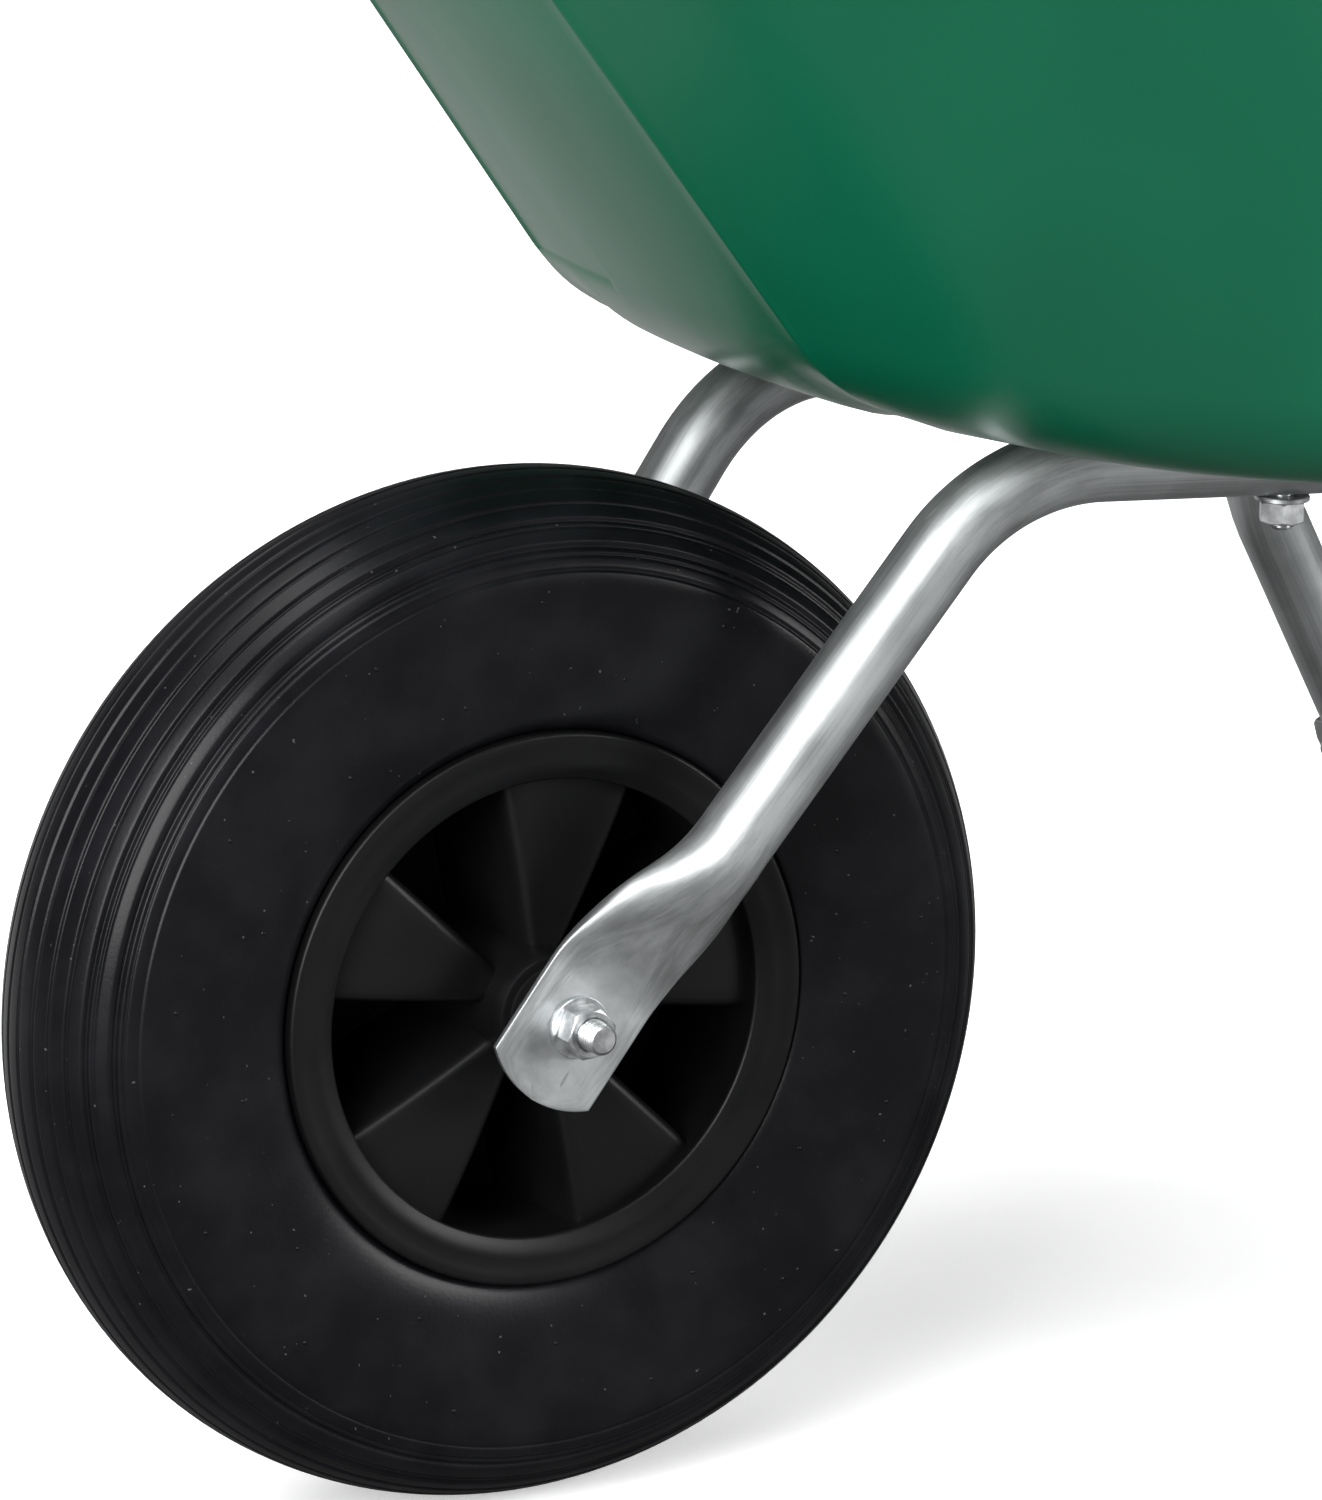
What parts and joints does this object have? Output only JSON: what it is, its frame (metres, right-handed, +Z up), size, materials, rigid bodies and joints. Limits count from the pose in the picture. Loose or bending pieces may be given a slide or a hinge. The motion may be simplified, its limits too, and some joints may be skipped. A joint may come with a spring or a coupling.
{
  "type": "wheelbarrow",
  "caption": "Garden wheelbarrow with a deep moulded tray on bent steel tubes, splayed legs, hand grips and a pneumatic wheel on a through axle.",
  "frame": {"origin": "on the ground, under the middle of the overall length and width", "axes": "+X forwards to the wheel, +Y to the left side, +Z up"},
  "size_m": [1.3986, 0.6504, 0.7041],
  "materials": {
    "tray_plastic": "satin, moulded",
    "galvanised_tube": "galvanised, drawn",
    "zinc_hardware": "bright zinc plated",
    "grip_plastic": "fine grained",
    "tyre_rubber": "new, lightly glossy",
    "tube_rubber": "matt",
    "rim_plastic": "satin, moulded",
    "bush_plastic": "turned",
    "valve_brass": "turned",
    "cap_plastic": "moulded"
  },
  "bodies": {
    "frame": {"tray": "tray_plastic", "main_tube_left": "galvanised_tube", "main_tube_right": "galvanised_tube", "leg_left": "galvanised_tube", "leg_right": "galvanised_tube", "leg_brace": "galvanised_tube", "brace_bolts": "zinc_hardware", "brace_nuts": "zinc_hardware", "grip_left": "grip_plastic", "grip_right": "grip_plastic", "tray_bolts": "zinc_hardware", "tray_washers": "zinc_hardware", "tube_washers": "zinc_hardware", "tray_nuts": "zinc_hardware", "axle": "zinc_hardware", "axle_spacers": "zinc_hardware", "axle_washers": "zinc_hardware", "axle_nuts": "zinc_hardware"},
    "wheel": {"tyre": "tyre_rubber", "inner_tube": "tube_rubber", "rim": "rim_plastic", "hub_bush_left": "bush_plastic", "hub_bush_right": "bush_plastic", "valve_stem": "valve_brass", "valve_cap": "cap_plastic"}
  },
  "joints": [
    {"name": "wheel_spin", "type": "hinge", "parent": "frame", "child": "wheel", "pos_m": [0.4993, 0, 0.2], "axis": [0, 1, 0], "continuous": true}
  ]
}
